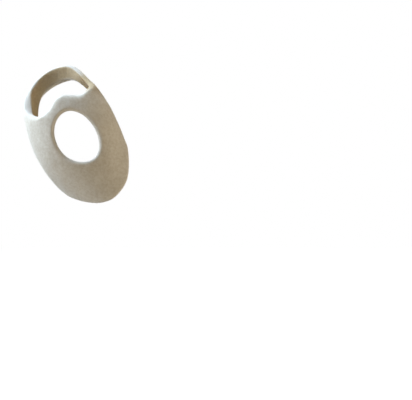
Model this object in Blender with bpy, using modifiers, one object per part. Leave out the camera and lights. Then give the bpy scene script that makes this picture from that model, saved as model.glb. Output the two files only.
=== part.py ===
"""Felt bunion pad with its toe loop, one piece of felt in the shape that it takes on the foot.

Metres, +Z up. The origin is the seat on the bunion: the middle of the oval hole, on the skin side
of the felt. The big toe comes up through the loop, -X is towards the sole, +X towards the top of the
foot, and +Y into the foot, so a viewer at -Y looks at the inner side of the foot.

The felt is laid over a soft form, the toe and the joint behind it, in coordinates that wrap it:
"turn" is the angle round the toe's bone, 0 on the bunion's crest, positive over the top of the foot
and 180 degrees between the toes. "along" runs up the bone from the middle of the hole to the toe.
"""

from math import atan2, cos, degrees, dist, hypot, pi, radians, sin

import bmesh
import bpy

# The foot that the felt lies on
JOINT_BREADTH = 0.0488  # sole to top of the foot across the bunion
JOINT_DEPTH = 0.0215  # bunion's crest back to the widest line of the foot's side
LOOP_DEPTH = 0.0350  # bunion's crest back to the skin between the toes, inside the loop
LEAN_ANGLE = radians(25)  # the bone leans from upright, towards the sole
CREASE_TURN = radians(-84)  # where the loop crosses the deep crease under the toe
CREASE_SPREAD = radians(44)  # the crease fades out over this much turn on each side
CREASE_START = 0.70  # share of TOE_REACH at which the loop starts to bunch up there
CREASE_FULL = 1.05  # share of it from which the loop is bunched up in full

# The cut of the felt
HEEL_REACH = 0.0460  # middle of the hole to the end over the arch
TOE_REACH = 0.0285  # middle of the hole to the tongue at the toe opening
LOOP_LIFT = 0.0210  # the loop stands this much further up between the toes than the tongue
STRAP_WIDTH = 0.0110  # the loop's strap between the toes
HOLE_LENGTH = 0.0330  # oval hole, along the bone
HOLE_WIDTH = 0.0242  # oval hole, across it
HOLE_ANGLE = radians(4)  # the oval leans a little more than the bone does

# The felt itself
FELT = 0.0042  # wall round the hole
BUNCHED_FELT = 0.0064  # wall of the loop where it bunches up in the crease under the toe
LEAST_WALL = 0.55  # share of the wall that is left at the skived outer edge
SKIVED_WIDTH = 0.0140  # the wall thins over this distance from the outer edge
MOST_WALL = BUNCHED_FELT / FELT
FELT_COLOUR = (0.79, 0.76, 0.68, 1.0)

# The mesh
STRAP_TURN = radians(124)  # turn at which the pad ends and the strap begins, on both sides
TOE_CORNER_TURN = radians(44)  # turn of the middle block's corners on the edge at the toe opening
FOOT_CORNER_TURN = radians(76)  # turn of its corners on the outer edge
EDGE_CELL = 0.0024  # cells along the hole and the toe edge are this wide, so that both round alike
SKIVED_CELL = 0.0016  # cells along the outer edge
MIDDLE_CELLS = 20  # along each edge of the middle block, which has the hole in it
SIDE_CELLS = 10  # along each edge of a side block, between the middle block and the strap
STRAP_CELLS = 12
WRAP_RADIUS = 0.0245  # turns a turn into a length when the felt is laid flat
EDGE_SAMPLES = 400
RAY_SWING = 0.6  # how far rays of the middle block turn from an even spacing towards straight ones

# Sections across the form. along: share of HEEL_REACH below the hole, of the loop's top above it.
# sole, crest, top: places across, as shares of half JOINT_BREADTH. crest_back, sole_back, top_back:
# depths behind the bunion's crest, as shares of JOINT_DEPTH. toe_back: share of LOOP_DEPTH.
SECTIONS = (
    # along, sole, crest, top, crest_back, sole_back, top_back, toe_back
    (-1.10, -0.60, 0.33, 1.76, 0.44, 1.40, 1.58, 1.43),
    (-0.65, -0.89, 0.16, 1.32, 0.23, 1.26, 1.12, 1.26),
    (-0.33, -1.07, 0.04, 1.02, 0.07, 1.09, 0.84, 1.09),
    (0.00, -1.11, 0.00, 0.98, 0.00, 1.00, 0.75, 1.00),
    (0.25, -1.07, 0.00, 0.94, 0.06, 0.98, 0.75, 0.99),
    (0.46, -0.96, 0.00, 0.83, 0.19, 0.93, 0.78, 0.99),
    (0.66, -0.85, 0.00, 0.75, 0.37, 0.93, 0.84, 1.00),
    (0.86, -0.72, 0.02, 0.71, 0.50, 1.02, 0.98, 1.03),
    (1.05, -0.66, 0.02, 0.66, 0.56, 1.07, 1.02, 1.04),
)

# The edge at the toe opening, all the way round. along: share of TOE_REACH. lift: share of LOOP_LIFT.
TOE_EDGE = (
    # turn, along, lift
    (-180, 1.00, 1.00),
    (-160, 1.00, 0.95),
    (-142, 1.00, 0.86),
    (-126, 1.00, 0.73),
    (-116, 1.00, 0.60),
    (-105, 1.00, 0.45),
    (-95, 1.00, 0.31),
    (-84, 0.99, 0.15),
    (-74, 0.97, 0.04),
    (-64, 0.91, 0.00),
    (-54, 0.84, 0.00),
    (-45, 0.78, 0.00),
    (-36, 0.77, 0.00),
    (-26, 0.80, 0.00),
    (-19, 0.85, 0.00),
    (-12, 0.93, 0.00),
    (-4, 0.98, 0.00),
    (7, 0.98, 0.00),
    (19, 0.91, 0.00),
    (34, 0.83, 0.00),
    (50, 0.87, 0.00),
    (69, 0.92, 0.00),
    (84, 0.98, 0.01),
    (94, 1.00, 0.07),
    (103, 1.00, 0.24),
    (110, 1.00, 0.41),
    (119, 1.00, 0.60),
    (127, 1.00, 0.74),
    (140, 1.00, 0.88),
    (153, 1.00, 0.95),
)

# The outer edge. drop: 0 where only the strap's width is left, 1 at the end over the arch.
FOOT_EDGE = (
    # turn, drop
    (-180, 0.00),
    (-150, 0.01),
    (-132, 0.06),
    (-122, 0.15),
    (-113, 0.30),
    (-104, 0.46),
    (-96, 0.59),
    (-87, 0.68),
    (-76, 0.74),
    (-65, 0.79),
    (-52, 0.85),
    (-42, 0.90),
    (-32, 0.94),
    (-20, 0.97),
    (-9, 0.98),
    (4, 0.95),
    (15, 0.90),
    (25, 0.83),
    (35, 0.74),
    (45, 0.67),
    (57, 0.60),
    (67, 0.56),
    (76, 0.50),
    (85, 0.43),
    (93, 0.34),
    (101, 0.22),
    (108, 0.13),
    (116, 0.07),
    (128, 0.02),
    (150, 0.00),
)

# Rings of the middle block between the hole's edge cells and its border, as shares of the way.
RINGS = (0.00, 0.28, 0.60, 1.00)

# Rows of every block between its edge cells, as shares of the way from the toe edge's cells.
ROWS = (0.00, 0.25, 0.50, 0.75, 1.00)


def smooth(rows, x, column, period=None):
    """The column's value at x, on a smooth curve through the rows, which may repeat each period."""
    if period:
        x = rows[0][0] + (x - rows[0][0]) % period
        before, after = rows[-1], rows[0]
        rows = [(before[0] - period, *before[1:]), *rows, (after[0] + period, *after[1:])]
        after = rows[2]
        rows.append((after[0] + period, *after[1:]))
    last = len(rows) - 2
    i = next((k for k in range(last) if x <= rows[k + 1][0]), last)
    x0, x1 = rows[i][0], rows[i + 1][0]
    y0, y1 = rows[i][column], rows[i + 1][column]
    slope = (y1 - y0) / (x1 - x0)
    slopes = []
    for k in (i, i + 1):
        if 0 < k < len(rows) - 1:
            slopes.append((rows[k + 1][column] - rows[k - 1][column]) / (rows[k + 1][0] - rows[k - 1][0]))
        else:
            slopes.append(slope)
    t = (x - x0) / (x1 - x0)
    m0, m1 = slopes[0] * (x1 - x0), slopes[1] * (x1 - x0)
    return (
        y0 * (1 + 2 * t) * (1 - t) ** 2
        + m0 * t * (1 - t) ** 2
        + y1 * t * t * (3 - 2 * t)
        - m1 * t * t * (1 - t)
    )


def eased(t):
    """0 to 1 as t goes from 0 to 1, level at both ends."""
    t = min(1.0, max(0.0, t))
    return t * t * (3 - 2 * t)


def toe_edge(turn):
    """How far along the bone the edge at the toe opening lies."""
    angle = degrees(turn)
    reach = smooth(TOE_EDGE, angle, 1, 360)
    lift = smooth(TOE_EDGE, angle, 2, 360)
    return reach * TOE_REACH + lift * LOOP_LIFT


def foot_edge(turn):
    """How far along the bone the outer edge lies."""
    strap = toe_edge(turn) - STRAP_WIDTH
    drop = smooth(FOOT_EDGE, degrees(turn), 1, 360)
    return strap - drop * (strap + HEEL_REACH)


def bunching(turn, along):
    """How far the loop bunches up here in the crease under the toe, from 0 to 1."""
    off = (turn - CREASE_TURN + pi) % (2 * pi) - pi
    if abs(off) >= CREASE_SPREAD:
        return 0.0
    reached = (along / TOE_REACH - CREASE_START) / (CREASE_FULL - CREASE_START)
    return cos(off / CREASE_SPREAD * pi / 2) ** 2 * eased(reached)


def skin_point(turn, along):
    """The point of the skin at this turn and this far along the bone, in the bone's own frame."""
    share = along / (HEEL_REACH if along < 0 else TOE_REACH + LOOP_LIFT)
    sole, crest, top = (smooth(SECTIONS, share, column) * JOINT_BREADTH / 2 for column in (1, 2, 3))
    crest_back, sole_back, top_back = (smooth(SECTIONS, share, column) * JOINT_DEPTH for column in (4, 5, 6))
    toe_back = smooth(SECTIONS, share, 7) * LOOP_DEPTH
    c, s = cos(turn), sin(turn)
    side, side_back = (top, top_back) if s > 0 else (sole, sole_back)
    x = crest + (side - crest) * abs(s)
    near = crest_back if c > 0 else toe_back
    y = side_back + (near - side_back) * abs(c)
    inward = bunching(turn, along) * (BUNCHED_FELT - FELT)
    return (x - s * inward, y + c * inward, along)


def flat_point(turn, along):
    """The same place on the felt laid flat, where distances are measured."""
    return (turn * WRAP_RADIUS, along)


def spread(edge, start, end, cells):
    """Points that divide an edge of the pad, between two turns, into equal lengths."""
    line = [start + (end - start) * k / EDGE_SAMPLES for k in range(EDGE_SAMPLES + 1)]
    flat = [flat_point(turn, edge(turn)) for turn in line]
    run = [0.0]
    for here, there in zip(flat, flat[1:]):
        run.append(run[-1] + dist(here, there))
    points = []
    for k in range(cells + 1):
        wanted = run[-1] * k / cells
        i = next((j for j in range(EDGE_SAMPLES) if run[j + 1] >= wanted), EDGE_SAMPLES - 1)
        t = (wanted - run[i]) / (run[i + 1] - run[i])
        turn = line[i] + t * (line[i + 1] - line[i])
        points.append((turn, edge(turn)))
    return points


def edge_points(edge, corner):
    """The ends of the pad's columns on one of its edges, from the strap round to the strap."""
    side = spread(edge, STRAP_TURN, corner, SIDE_CELLS)
    middle = spread(edge, corner, -corner, MIDDLE_CELLS)
    far_side = spread(edge, -corner, -STRAP_TURN, SIDE_CELLS)
    return side + middle[1:] + far_side[1:]


def between(start, end, share):
    """The place at this share of the way from one place on the felt to another."""
    return (start[0] + (end[0] - start[0]) * share, start[1] + (end[1] - start[1]) * share)


def column(top, bottom):
    """The places down one column, from the toe edge to the outer edge."""
    length = dist(flat_point(*top), flat_point(*bottom))
    edge = EDGE_CELL / length
    rest = 1 - edge - SKIVED_CELL / length
    return [top, *(between(top, bottom, edge + rest * share) for share in ROWS), bottom]


def ray(start, end):
    """The places along one ray, from the hole's edge to the middle block's border."""
    edge = EDGE_CELL / dist(flat_point(*start), flat_point(*end))
    return [start, *(between(start, end, edge + (1 - edge) * share) for share in RINGS)]


def hole_point(bearing):
    """Where a ray from the middle of the hole crosses the oval."""
    angle = bearing - HOLE_ANGLE
    reach = 1 / hypot(cos(angle) / (HOLE_WIDTH / 2), sin(angle) / (HOLE_LENGTH / 2))
    return (reach * cos(bearing) / WRAP_RADIUS, reach * sin(bearing))


def felt_wall(place, skived_edge):
    """The share of the wall at a place on the felt, which is skived towards its outer edge."""
    away = min(dist(flat_point(*place), point) for point in skived_edge)
    bunched = 1 + bunching(*place) * (MOST_WALL - 1)
    return (LEAST_WALL + (1 - LEAST_WALL) * eased(away / SKIVED_WIDTH)) * bunched / MOST_WALL


def felt_cage():
    """The skin side of the felt as a net of quads, and the share of the wall at each point."""
    mesh = bmesh.new()
    walls = []
    placed = {}
    samples = [STRAP_TURN * (1 - 2 * k / EDGE_SAMPLES) for k in range(EDGE_SAMPLES + 1)]
    skived_edge = [flat_point(turn, foot_edge(turn)) for turn in samples]

    def point(place):
        key = (round(place[0], 6), round(place[1], 8))
        if key not in placed:
            placed[key] = mesh.verts.new(skin_point(*place))
            walls.append(felt_wall(place, skived_edge))
        return placed[key]

    def quads(lines):
        for line, following in zip(lines, lines[1:]):
            for k in range(len(line) - 1):
                corners = (line[k], line[k + 1], following[k + 1], following[k])
                mesh.faces.new([point(corner) for corner in corners])

    ends = zip(edge_points(toe_edge, TOE_CORNER_TURN), edge_points(foot_edge, FOOT_CORNER_TURN))
    columns = [column(top, bottom) for top, bottom in ends]
    first, last = SIDE_CELLS, SIDE_CELLS + MIDDLE_CELLS
    quads(columns[: first + 1])
    quads(columns[last:])
    quads([line[:2] for line in columns[first : last + 1]])
    quads([line[-2:] for line in columns[first : last + 1]])

    border = [line[1] for line in columns[first:last]] + columns[last][1:-1]
    border += [line[-2] for line in columns[last - 1 : first : -1]] + columns[first][-2:1:-1]
    bearings = [atan2(along, turn * WRAP_RADIUS) for turn, along in border]
    swings = [
        (bearing - 2 * pi * k / len(border) + pi / 2) % (2 * pi) - pi / 2
        for k, bearing in enumerate(bearings)
    ]
    start = sum(swings) / len(swings)
    rays = []
    for k, (place, swing) in enumerate(zip(border, swings)):
        bearing = 2 * pi * k / len(border) + start + (swing - start) * RAY_SWING
        rays.append(ray(hole_point(bearing), place))
    quads(rays + rays[:1])

    strap = []
    for step in range(STRAP_CELLS + 1):
        turn = STRAP_TURN + (2 * pi - 2 * STRAP_TURN) * step / STRAP_CELLS
        strap.append(column((turn, toe_edge(turn)), (turn, foot_edge(turn))))
    strap[0], strap[-1] = columns[0], columns[-1]
    quads(strap)
    return mesh, walls


def felt_material():
    """Pressed wool felt: off-white and quite matt."""
    material = bpy.data.materials.new("pressed_felt")
    material.use_nodes = True
    surface = material.node_tree.nodes["Principled BSDF"]
    surface.inputs["Base Color"].default_value = FELT_COLOUR
    surface.inputs["Roughness"].default_value = 0.9
    surface.inputs["Metallic"].default_value = 0.0
    return material


def felt_pad(bone):
    """The pad: its skin side, thickened outwards and rounded at every cut edge."""
    cage, walls = felt_cage()
    bmesh.ops.recalc_face_normals(cage, faces=cage.faces)
    crest = min(cage.faces, key=lambda face: face.calc_center_median().y)
    if crest.normal.y > 0:
        bmesh.ops.reverse_faces(cage, faces=cage.faces)
    data = bpy.data.meshes.new("felt_pad")
    cage.to_mesh(data)
    cage.free()
    data.materials.append(felt_material())
    pad = bpy.data.objects.new("felt_pad", data)
    group = pad.vertex_groups.new(name="wall")
    for index, wall in enumerate(walls):
        group.add([index], wall, "REPLACE")
    wall = pad.modifiers.new("wall", "SOLIDIFY")
    wall.thickness = FELT * MOST_WALL
    wall.offset = 1.0
    wall.vertex_group = group.name
    rounding = pad.modifiers.new("rounding", "SUBSURF")
    rounding.levels = rounding.render_levels = 1
    data.shade_smooth()
    pad.parent = bone
    return pad


def main():
    for obj in list(bpy.data.objects):
        bpy.data.objects.remove(obj)
    pad_parts = bpy.data.collections.new("felt_bunion_pad")
    bpy.context.scene.collection.children.link(pad_parts)
    bone = bpy.data.objects.new("bone_line", None)
    bone.rotation_euler = (0, -LEAN_ANGLE, 0)
    pad_parts.objects.link(bone)
    pad_parts.objects.link(felt_pad(bone))


main()
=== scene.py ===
"""Felt bunion pad in its worn, curved form: one cut piece of pressed wool felt."""

import math
import random

import bmesh
import bpy
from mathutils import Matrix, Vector, kdtree, noise
from mathutils.bvhtree import BVHTree


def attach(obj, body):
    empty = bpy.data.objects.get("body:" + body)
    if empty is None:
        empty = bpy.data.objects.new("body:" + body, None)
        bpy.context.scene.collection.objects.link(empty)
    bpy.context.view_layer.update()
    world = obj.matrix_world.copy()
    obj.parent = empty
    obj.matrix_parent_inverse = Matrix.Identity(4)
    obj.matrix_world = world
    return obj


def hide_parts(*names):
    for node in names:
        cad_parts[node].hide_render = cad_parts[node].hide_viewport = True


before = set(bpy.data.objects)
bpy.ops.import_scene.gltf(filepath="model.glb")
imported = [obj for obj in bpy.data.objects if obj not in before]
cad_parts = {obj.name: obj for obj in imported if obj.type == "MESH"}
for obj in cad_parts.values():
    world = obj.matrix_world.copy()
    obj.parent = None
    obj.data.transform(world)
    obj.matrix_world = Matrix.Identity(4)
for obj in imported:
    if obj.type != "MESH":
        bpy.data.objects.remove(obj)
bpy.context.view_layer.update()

MM = 0.001

# The felt's surface, from real sizes
MERGE_GAP = 0.001 * MM  # corners nearer than this are one corner
LUMP_SIZE = 5.0 * MM  # slow unevenness of the pressing
LUMP_RISE = 0.10 * MM
TUFT_SIZE = 1.5 * MM  # matted tufts of wool
TUFT_RISE = 0.05 * MM
TUFT_PLACE = Vector((7, 3, 5))  # sets the tufts apart from the lumps

# The colours of the wool, from real sizes
CLOUD_GRAIN = 7.0 * MM
TUFT_GRAIN = 1.6 * MM
FIBRE_GRAIN = 0.45 * MM  # crossing fibres, drawn coarser than they are so that they show
GRAIN_HEIGHT = 0.12 * MM
FIBRE_SHARE = 0.5  # of the grain's height, beside the tufts

# The nap: loose fibres on the surface
NAP_SEED = 4
NAP_FIBRES = 12000
NAP_LENGTH = (0.5 * MM, 1.5 * MM)
NAP_WIDTH = 0.035 * MM  # wool is 0.02 mm thick, drawn coarser so that it shows
NAP_PIECES = 3  # straight pieces in a fibre
NAP_TAPER = 0.6  # share of its width that a fibre loses by its tip
NAP_BEND = 0.5  # most that a fibre curves aside, by its length
NAP_LIFT = (0.05, 0.45)  # how high a fibre arches, by its length
NAP_ARCH = 2.2  # radians of the arch, so that the tip comes down again
NAP_SUNK = 0.05 * MM  # the root is this far under the surface

# The camera, as far away as it needs to be for the photograph's framing
CAMERA_DISTANCE = 1.0
CAMERA_AIM = (0.0806, -0.0397)  # the picture's middle, across and up from the frame's origin
PICTURE_BREADTH = 0.2575  # at the origin
SENSOR = 36.0

FLOOR_HEIGHT = -0.16
FLOOR_RADIUS = 3.0

PAD_MIDDLE = Vector((0.0, 15.0 * MM, 0.0))
LIGHT_DISTANCE = 1.0
COOL_LIGHT = "#EAF6FF"
WARM_LIGHT = "#FFECCD"

# Name, degrees to the left of the viewer, degrees up, metres across, watts, colour
SOFTBOXES = (
    ("window", 105, 35, 1.0, 15.3, COOL_LIGHT),
    ("window_high", 90, 55, 0.5, 5.5, COOL_LIGHT),
    ("window_low", 90, -25, 0.5, 2.7, COOL_LIGHT),
    ("window_behind", 165, 45, 1.0, 4.5, COOL_LIGHT),
    ("room_right", -90, 10, 0.8, 5.6, WARM_LIGHT),
    ("room_low", 0, -40, 0.9, 4.1, WARM_LIGHT),
)

# The axis that the felt wraps: a point of it and its way, tilted in the picture's plane
WRAP_MIDDLE = Vector((0.0, 17.0 * MM, 0.0))
WRAP_TILT = math.radians(25)
WRAP_WAY = Vector((-math.sin(WRAP_TILT), 0.0, math.cos(WRAP_TILT)))

# The cut edges, found on the solid: there the felt is deep under the surface
WALL = 4.2 * MM
RAY_START = 0.1 * MM  # under the surface
EDGE_DEPTH = 6.5 * MM
EDGE_BLUR = 1.6 * MM
EDGE_REACH = 6.0 * MM
BEVEL_FALL = 3.3 * MM  # the loop's edge is cut aslant, this much lower on its outer side
BEVEL_SOFTNESS = 0.7 * MM
BEVEL_BACK = (8.0 * MM, 32.0 * MM)  # the slant fades out over these depths behind the origin
BEVEL_FADE = (0.6 * EDGE_REACH, EDGE_REACH)  # and this far from the edge's middle

# Where the wool's colour carries painted light and shade. A turn is the cosine between a face's own way and
# another
INNER_TURN = (0.35, 0.85)  # the inner side is tan with painted shade from where it starts to face the axis
CUT_TURN = (0.1, 0.6)  # a cut face is white, a painted highlight and partly the cleaner wool of a fresh cut, from where it starts to face out of the felt
CUT_SHOWS = (1.0 * MM, 3.4 * MM)  # its white fades out this far from its middle
HOLE_CUT_HIGHLIGHT = 0.5  # the hole's cut face is less white than the others: its walls stand in shade, so they get less painted highlight
TOE_SHADOW_PLACE = Vector((6.0 * MM, 17.0 * MM, 35.0 * MM))  # the strap's end, painted tan as the big toe's shadow
TOE_SHADOW_SPREAD = (7.0 * MM, 17.0 * MM)


def linear(hex_colour):
    """A hex colour as sRGB shows it, turned into the linear colour that shaders take."""
    parts = [int(hex_colour[i : i + 2], 16) / 255 for i in (1, 3, 5)]
    return tuple(p / 12.92 if p <= 0.04045 else ((p + 0.055) / 1.055) ** 2.4 for p in parts) + (1.0,)


def node(tree, kind, settings=None, **links):
    """Adds a node with its settings. A link's name is the input's, with _ for a space."""
    made = tree.nodes.new("ShaderNode" + kind)
    for key, value in (settings or {}).items():
        if key in made.inputs:
            made.inputs[key].default_value = value
        else:
            setattr(made, key, value)
    for key, source in links.items():
        tree.links.new(source, made.inputs[key.replace("_", " ")])
    return made


def ramp(tree, value, *stops):
    """Colours by value, from (position, hex colour) stops."""
    made = node(tree, "ValToRGB", None, Fac=value)
    for element, (position, hex_colour) in zip(made.color_ramp.elements, stops):
        element.position = position
        element.color = linear(hex_colour)
    return made.outputs["Color"]


def mix(tree, base, top, blend, share):
    """One colour laid on another. The top colour and the share are values or sockets."""
    made = node(tree, "Mix", {"data_type": "RGBA", "blend_type": blend})
    for socket, value in ((0, share), (6, base), (7, top)):
        if isinstance(value, bpy.types.NodeSocket):
            tree.links.new(value, made.inputs[socket])
        else:
            made.inputs[socket].default_value = value
    return made.outputs[2]


def pressed_wool_felt():
    """Bleached wool felt, pressed 4 mm thick: a quite matt cream white with a soft bloom.

    Matted tufts give it faint clouds of lighter and darker wool, and crossing fibres a fine grain. Painted
    into its colour: tan shade on the inner side, a white highlight on the cut faces (partly clean fresh-cut
    wool) and a toe's shadow on the strap's end.
    """
    felt = bpy.data.materials.new("pressed_wool_felt")
    felt.use_nodes = True
    tree = felt.node_tree
    surface = tree.nodes["Principled BSDF"]
    surface.inputs["Roughness"].default_value = 0.92
    surface.inputs["Metallic"].default_value = 0.0
    surface.inputs["IOR"].default_value = 1.45
    surface.inputs["Specular IOR Level"].default_value = 0.25
    surface.inputs["Sheen Weight"].default_value = 0.25
    surface.inputs["Sheen Roughness"].default_value = 0.6

    place = node(tree, "TexCoord").outputs["Object"]
    clouds = node(tree, "TexNoise", {"Scale": 1 / CLOUD_GRAIN, "Detail": 3.0, "Roughness": 0.55}, Vector=place)
    tufts = node(tree, "TexNoise", {"Scale": 1 / TUFT_GRAIN, "Detail": 4.0, "Roughness": 0.6}, Vector=place)
    crossing = node(
        tree,
        "TexNoise",
        {"Scale": 1 / FIBRE_GRAIN, "Detail": 2.0, "Roughness": 0.7, "Distortion": 1.5},
        Vector=place,
    )
    cloud_colour = ramp(tree, clouds.outputs["Fac"], (0.32, "#E9E6DF"), (0.68, "#F2F0EA"))
    tuft_colour = ramp(tree, tufts.outputs["Fac"], (0.35, "#F0EEEA"), (0.62, "#FFFFFF"))
    wool = mix(tree, cloud_colour, tuft_colour, "MULTIPLY", 1.0)
    # Painted shade: the inner side, which faces the wrapped axis, is multiplied tan for the shade and warm
    # skin bounce inside a worn pad.
    inner_side_shade = node(tree, "Attribute", {"attribute_name": "inner_side_shade"}).outputs["Fac"]
    inner_shaded = mix(tree, wool, linear("#EBDABC"), "MULTIPLY", inner_side_shade)
    # Painted highlight: the cut faces are mixed towards white, partly for the cleaner wool of a fresh cut.
    cut_face = node(tree, "Attribute", {"attribute_name": "cut_face"}).outputs["Fac"]
    cut_white_and_highlight = mix(tree, inner_shaded, linear("#F6F5F2"), "MIX", cut_face)
    # Painted shadow: the strap's end is multiplied tan where the big toe's shadow falls.
    toe_shadow = node(tree, "Attribute", {"attribute_name": "toe_shadow"}).outputs["Fac"]
    toe_shaded = mix(tree, cut_white_and_highlight, linear("#D2BF9E"), "MULTIPLY", toe_shadow)
    tree.links.new(toe_shaded, surface.inputs["Base Color"])

    rise = node(tree, "Math", {"operation": "MULTIPLY_ADD"})
    tree.links.new(crossing.outputs["Fac"], rise.inputs[0])
    rise.inputs[1].default_value = FIBRE_SHARE
    tree.links.new(tufts.outputs["Fac"], rise.inputs[2])
    bump = node(tree, "Bump", {"Strength": 0.6, "Distance": GRAIN_HEIGHT}, Height=rise.outputs["Value"])
    tree.links.new(bump.outputs["Normal"], surface.inputs["Normal"])
    return felt


def eased(value, start, end):
    """0 at start, 1 at end, and level at both."""
    t = min(1.0, max(0.0, (value - start) / (end - start)))
    return t * t * (3 - 2 * t)


def out_from_axis(place):
    """The way straight out from the axis that the felt wraps to a place."""
    arm = place - WRAP_MIDDLE
    return arm - WRAP_WAY * arm.dot(WRAP_WAY)


def cut_edges(mesh):
    """The points along the middle of each cut edge, as lists of (place, way out of the felt).

    They are the points where a line straight into the felt runs along the wall, not across it.
    """
    tree = BVHTree.FromBMesh(mesh)
    deep = set()
    for vertex in mesh.verts:
        hit = tree.ray_cast(vertex.co - vertex.normal * RAY_START, -vertex.normal)
        if hit[0] is not None and hit[3] > EDGE_DEPTH:
            deep.add(vertex)
    edges = []
    while deep:
        front = [deep.pop()]
        edge = []
        while front:
            vertex = front.pop()
            edge.append((vertex.co.copy(), vertex.normal.copy()))
            for link in vertex.link_edges:
                other = link.other_vert(vertex)
                if other in deep:
                    deep.remove(other)
                    front.append(other)
        edges.append(edge)
    return edges


def edge_finder(edge):
    """A function that gives the middle of the cut edge near a place and the way out of the felt there."""
    tree = kdtree.KDTree(len(edge))
    for k, (place, way) in enumerate(edge):
        tree.insert(place, k)
    tree.balance()

    def near(place):
        found = tree.find_range(place, EDGE_REACH)
        if not found:
            return None
        weights = [math.exp(-((gap / EDGE_BLUR) ** 2) / 2) for _, _, gap in found]
        middle = sum((edge[k][0] * w for (_, k, _), w in zip(found, weights)), Vector()) / sum(weights)
        way = sum((edge[k][1] * w for (_, k, _), w in zip(found, weights)), Vector()).normalized()
        return middle, way

    return near


def slant_loop_edge(mesh, near):
    """Cuts the loop's edge aslant, so that its cut face shows from the front."""
    for vertex in mesh.verts:
        found = near(vertex.co)
        if not found:
            continue
        middle, way = found
        share = 1 - eased(middle.y, *BEVEL_BACK)
        if share == 0:
            continue
        across = out_from_axis(middle)
        across = (across - way * across.dot(way)).normalized()
        slant = (across * BEVEL_FALL + way * WALL).normalized()
        start = middle - across * WALL / 2 + way * BEVEL_SOFTNESS
        depth = (vertex.co - start).dot(slant)
        cut = (depth + math.hypot(depth, BEVEL_SOFTNESS)) / 2
        fade = 1 - eased((vertex.co - middle).length, *BEVEL_FADE)
        vertex.co -= slant * cut * share * fade


def mark_sides(data, finders):
    """Writes where the felt gets its painted light, for the wool's colours: shade on the inner side, a
    highlight on the cut faces (partly clean fresh-cut wool) and a toe's shadow on the strap's end.
    """
    inner_side_shade = data.attributes.new("inner_side_shade", "FLOAT", "POINT")
    cut_face = data.attributes.new("cut_face", "FLOAT", "POINT")
    toe_shadow = data.attributes.new("toe_shadow", "FLOAT", "POINT")
    for vertex in data.vertices:
        # Painted shade on the faces that turn towards the axis.
        out = out_from_axis(vertex.co).normalized().dot(vertex.normal)
        inner_side_shade.data[vertex.index].value = eased(-out, *INNER_TURN)
        # Painted toe shadow around the strap's end.
        toe_shadow.data[vertex.index].value = 1 - eased((vertex.co - TOE_SHADOW_PLACE).length, *TOE_SHADOW_SPREAD)
        # Painted highlight on the cut faces, weaker in the hole.
        for near, cut_white_and_highlight in finders:
            found = near(vertex.co)
            if found:
                gap = (vertex.co - found[0]).length
                faces = eased(found[1].dot(vertex.normal), *CUT_TURN)
                shown = cut_white_and_highlight * faces * (1 - eased(gap, *CUT_SHOWS))
                cut_face.data[vertex.index].value = max(cut_face.data[vertex.index].value, shown)


def rounded(mesh):
    """The same mesh, each face divided in four and rounded. The old one is freed."""
    data = bpy.data.meshes.new("felt_pad_body")
    mesh.to_mesh(data)
    body = bpy.data.objects.new("felt_pad_body", data)
    bpy.context.scene.collection.objects.link(body)
    rounding = body.modifiers.new("rounding", "SUBSURF")
    rounding.levels = rounding.render_levels = 1
    mesh.clear()
    mesh.from_mesh(body.evaluated_get(bpy.context.evaluated_depsgraph_get()).to_mesh())
    bpy.data.objects.remove(body)
    return mesh


def felt_body(felt):
    """The pad: the CAD's solid with its facets rounded out, and the felt's own unevenness."""
    mesh = bmesh.new()
    mesh.from_mesh(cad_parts["felt_pad"].data)
    bmesh.ops.remove_doubles(mesh, verts=mesh.verts, dist=MERGE_GAP)
    bmesh.ops.join_triangles(
        mesh, faces=mesh.faces, angle_face_threshold=math.pi, angle_shape_threshold=math.pi
    )
    mesh.normal_update()
    # From the lowest middle to the highest, they are the hole's, the outer one and the loop's
    edges = sorted(cut_edges(mesh), key=lambda edge: sum(place.z for place, _ in edge) / len(edge))
    mesh = rounded(mesh)
    slant_loop_edge(mesh, edge_finder(edges[-1]))
    mesh = rounded(mesh)
    fine = bpy.data.meshes.new("felt_pad_body")
    mesh.to_mesh(fine)
    mesh.free()
    hole, outer_edge, loop_edge = (edge_finder(edge) for edge in edges)
    mark_sides(fine, ((hole, HOLE_CUT_HIGHLIGHT), (outer_edge, 1.0), (loop_edge, 1.0)))
    body = bpy.data.objects.new("felt_pad_body", fine)
    bpy.context.scene.collection.objects.link(body)

    normals = [vertex.normal.copy() for vertex in fine.vertices]
    for vertex, normal in zip(fine.vertices, normals):
        place = vertex.co
        lumps = noise.noise(place / LUMP_SIZE) * LUMP_RISE
        tufts = noise.noise(place / TUFT_SIZE + TUFT_PLACE) * TUFT_RISE
        vertex.co = place + normal * (lumps + tufts)
    fine.shade_smooth()
    fine.materials.clear()
    fine.materials.append(felt)
    return body


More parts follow.
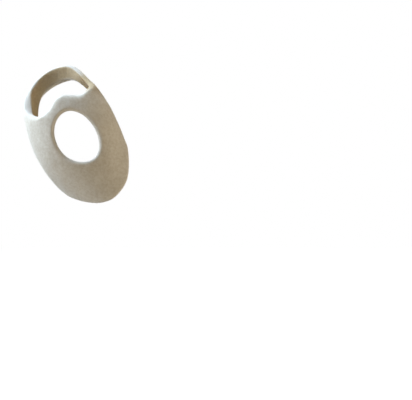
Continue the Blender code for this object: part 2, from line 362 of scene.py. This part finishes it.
def nap(body, felt):
    """Fine loose fibres that stand a little off the felt and soften its outline."""
    rng = random.Random(NAP_SEED)
    faces = body.data.polygons
    corners = body.data.vertices
    totals = []
    total = 0.0
    for face in faces:
        total += face.area
        totals.append(total)
    points = []
    quads = []
    step = total / NAP_FIBRES
    k = 0
    for i in range(NAP_FIBRES):
        wanted = (i + rng.random()) * step
        while k < len(totals) - 1 and totals[k] < wanted:
            k += 1
        face = faces[k]
        weights = [rng.random() for _ in face.vertices]
        root = sum((corners[v].co * w for v, w in zip(face.vertices, weights)), Vector()) / sum(weights)
        out = face.normal
        side = out.cross(Vector((rng.gauss(0, 1), rng.gauss(0, 1), rng.gauss(0, 1)))).normalized()
        bend = out.cross(side) * rng.uniform(-NAP_BEND, NAP_BEND)
        length = rng.uniform(*NAP_LENGTH)
        lift = rng.uniform(*NAP_LIFT)
        breadth = out.cross(side) * NAP_WIDTH / 2
        base = len(points)
        for joint in range(NAP_PIECES + 1):
            t = joint / NAP_PIECES
            along = root + side * length * t + bend * length * t * t
            along += out * (length * lift * math.sin(t * NAP_ARCH) - NAP_SUNK)
            taper = 1 - NAP_TAPER * t
            points.append(along - breadth * taper)
            points.append(along + breadth * taper)
        for joint in range(NAP_PIECES):
            a = base + 2 * joint
            quads.append((a, a + 1, a + 3, a + 2))
    data = bpy.data.meshes.new("felt_nap")
    data.from_pydata(points, [], quads)
    data.shade_smooth()
    data.materials.append(felt)
    fibres = bpy.data.objects.new("felt_nap", data)
    bpy.context.scene.collection.objects.link(fibres)
    return fibres


def softbox(name, left, up, size, power, colour):
    """A square soft light aimed at the pad from so many degrees left of the viewer, and so many up."""
    round_left, height = math.radians(left), math.radians(up)
    light = bpy.data.lights.new(name, "AREA")
    light.shape = "SQUARE"
    light.size = size
    light.energy = power
    light.color = linear(colour)[:3]
    lamp = bpy.data.objects.new(name, light)
    way = Vector((-math.sin(round_left), -math.cos(round_left), math.tan(height))).normalized()
    lamp.location = way * LIGHT_DISTANCE
    lamp.rotation_euler = (PAD_MIDDLE - lamp.location).to_track_quat("-Z", "Y").to_euler()
    bpy.context.scene.collection.objects.link(lamp)


def studio():
    """White room: cool window light from the left and above, dim warm light from right and below."""
    for box in SOFTBOXES:
        softbox(*box)

    world = bpy.data.worlds.new("white_room")
    bpy.context.scene.world = world
    world.use_nodes = True
    world.node_tree.nodes["Background"].inputs["Color"].default_value = linear("#FFFFFF")
    world.node_tree.nodes["Background"].inputs["Strength"].default_value = 1.0
    world.cycles_visibility.diffuse = False
    world.cycles_visibility.glossy = False

    paper = bpy.data.materials.new("white_paper")
    paper.use_nodes = True
    surface = paper.node_tree.nodes["Principled BSDF"]
    surface.inputs["Base Color"].default_value = linear("#F7F7F6")
    surface.inputs["Roughness"].default_value = 0.95
    surface.inputs["Emission Color"].default_value = linear("#FFFFFF")
    surface.inputs["Emission Strength"].default_value = 1.0
    mesh = bmesh.new()
    bmesh.ops.create_circle(mesh, cap_ends=True, segments=96, radius=FLOOR_RADIUS)
    data = bpy.data.meshes.new("floor")
    mesh.to_mesh(data)
    mesh.free()
    data.materials.append(paper)
    floor = bpy.data.objects.new("floor", data)
    floor.location = (0, 0, FLOOR_HEIGHT)
    floor.visible_diffuse = False
    floor.visible_glossy = False
    floor.visible_shadow = False
    bpy.context.scene.collection.objects.link(floor)


def camera():
    """The camera stands level and looks straight at the pad's outer face."""
    data = bpy.data.cameras.new("camera")
    data.sensor_width = SENSOR
    data.lens = SENSOR * CAMERA_DISTANCE / PICTURE_BREADTH
    data.clip_start = 0.05
    data.clip_end = 20.0
    eye = bpy.data.objects.new("camera", data)
    eye.location = (CAMERA_AIM[0], -CAMERA_DISTANCE, CAMERA_AIM[1])
    eye.rotation_euler = (math.pi / 2, 0, 0)
    bpy.context.scene.collection.objects.link(eye)
    bpy.context.scene.camera = eye
    bpy.context.scene.view_settings.view_transform = "Standard"


felt = pressed_wool_felt()
body = felt_body(felt)
fibres = nap(body, felt)
for piece in (body, fibres):
    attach(piece, "root")
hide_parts("felt_pad")
studio()
camera()
